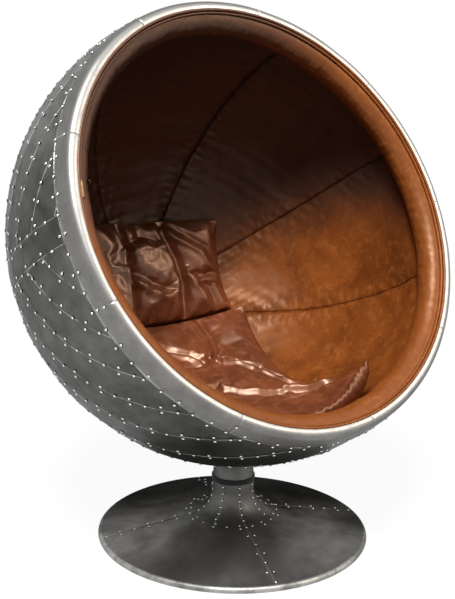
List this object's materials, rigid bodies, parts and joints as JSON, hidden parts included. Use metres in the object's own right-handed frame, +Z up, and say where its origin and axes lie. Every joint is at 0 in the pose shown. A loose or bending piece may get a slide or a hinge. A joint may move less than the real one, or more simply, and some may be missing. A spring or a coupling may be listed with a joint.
{
  "type": "swivel ball armchair",
  "caption": "Riveted aluminium ball armchair with a leather lined mouth and loose cushions, swivelling on a flared pedestal.",
  "frame": {"origin": "on the swivel axis at the floor, the middle of the floor pad's underside", "axes": "+Z up along the swivel axis; the mouth of the ball faces -Y and up at rest; +X to the right seen from the front"},
  "size_m": [1.0791, 0.9171, 1.2749],
  "materials": {
    "aged_aluminium": "satin",
    "bright_aluminium": "polished",
    "cognac_leather": "satin",
    "moulded_hull": "matte",
    "black_nylon": "matte",
    "plywood": "matte",
    "plain_steel": "satin",
    "painted_steel": "matte",
    "cast_iron_ballast": "matte",
    "felt": "matte"
  },
  "bodies": {
    "base": {"floor_pad": "felt", "ballast_plate": "cast_iron_ballast", "former": "painted_steel", "base_panel_front": "aged_aluminium", "base_panel_right": "aged_aluminium", "base_panel_back": "aged_aluminium", "base_panel_left": "aged_aluminium", "edge_ring": "aged_aluminium", "neck": "aged_aluminium", "column": "painted_steel", "column_bolts": "plain_steel", "swivel_bush": "black_nylon", "bearing_ring": "black_nylon"},
    "ball": {"cladding_upper_left": "aged_aluminium", "cladding_upper_right": "aged_aluminium", "cladding_lower_left": "aged_aluminium", "cladding_lower_right": "aged_aluminium", "side_belt": "aged_aluminium", "collar": "aged_aluminium", "front_band": "bright_aluminium", "lining_upper_right": "cognac_leather", "lining_top": "cognac_leather", "lining_upper_left": "cognac_leather", "lining_left": "cognac_leather", "lining_lower_left": "cognac_leather", "lining_bottom": "cognac_leather", "lining_lower_right": "cognac_leather", "lining_right": "cognac_leather", "rim_roll": "cognac_leather", "double_piping": "cognac_leather", "piping_sleeve": "cognac_leather", "seat_cushion": "cognac_leather", "back_cushion": "cognac_leather", "hull": "moulded_hull", "levelling_block": "plywood", "backing_plate": "plain_steel", "hub_bolts": "plain_steel", "hub_nuts": "plain_steel", "swivel_hub": "plain_steel", "spindle": "plain_steel", "spindle_nut": "plain_steel"}
  },
  "joints": [
    {"name": "swivel", "type": "hinge", "parent": "base", "child": "ball", "pos_m": [0, 0, 0.135], "axis": [0, 0, 1], "continuous": true}
  ]
}
